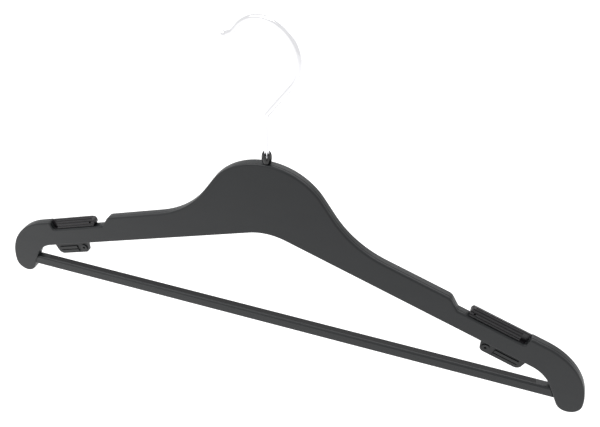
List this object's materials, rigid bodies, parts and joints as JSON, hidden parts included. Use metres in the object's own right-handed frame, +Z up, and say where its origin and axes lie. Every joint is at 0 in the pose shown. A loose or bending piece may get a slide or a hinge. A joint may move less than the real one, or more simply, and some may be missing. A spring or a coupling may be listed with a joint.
{
  "type": "clothes hanger",
  "caption": "Flat two-shell shop clothes hanger with a swivel wire hook, ribbed soft shoulder grips in strap notches, skirt-loop hooks and a straight trouser bar.",
  "frame": {"origin": "the point inside the top of the hook that sits on the rail, on the swivel axis", "axes": "+X runs along the hanger's width, to the viewer's right of its front; +Y points to the back, along the rail; +Z is up, along the swivel axis"},
  "size_m": [0.44, 0.0133, 0.2442],
  "materials": {
    "shell": "fine satin, near black",
    "grip": "soft, near black",
    "loop": "fine satin, near black",
    "bar": "satin, near black",
    "strip": "soft, near black",
    "collet": "gloss black",
    "wire": "bright plated"
  },
  "bodies": {
    "hook": {"hook_wire": "wire", "hook_tip_ball": "wire"},
    "hanger": {"front_shell": "shell", "rear_shell": "shell", "left_shoulder_grip": "grip", "right_shoulder_grip": "grip", "left_loop_hook": "loop", "right_loop_hook": "loop", "trouser_bar": "bar", "bar_grip_strip": "strip", "hook_collet": "collet"}
  },
  "joints": [
    {"name": "hook_swivel", "type": "hinge", "parent": "hook", "child": "hanger", "pos_m": [0, 0, -0.09197], "axis": [0, 0, 1], "continuous": true}
  ]
}
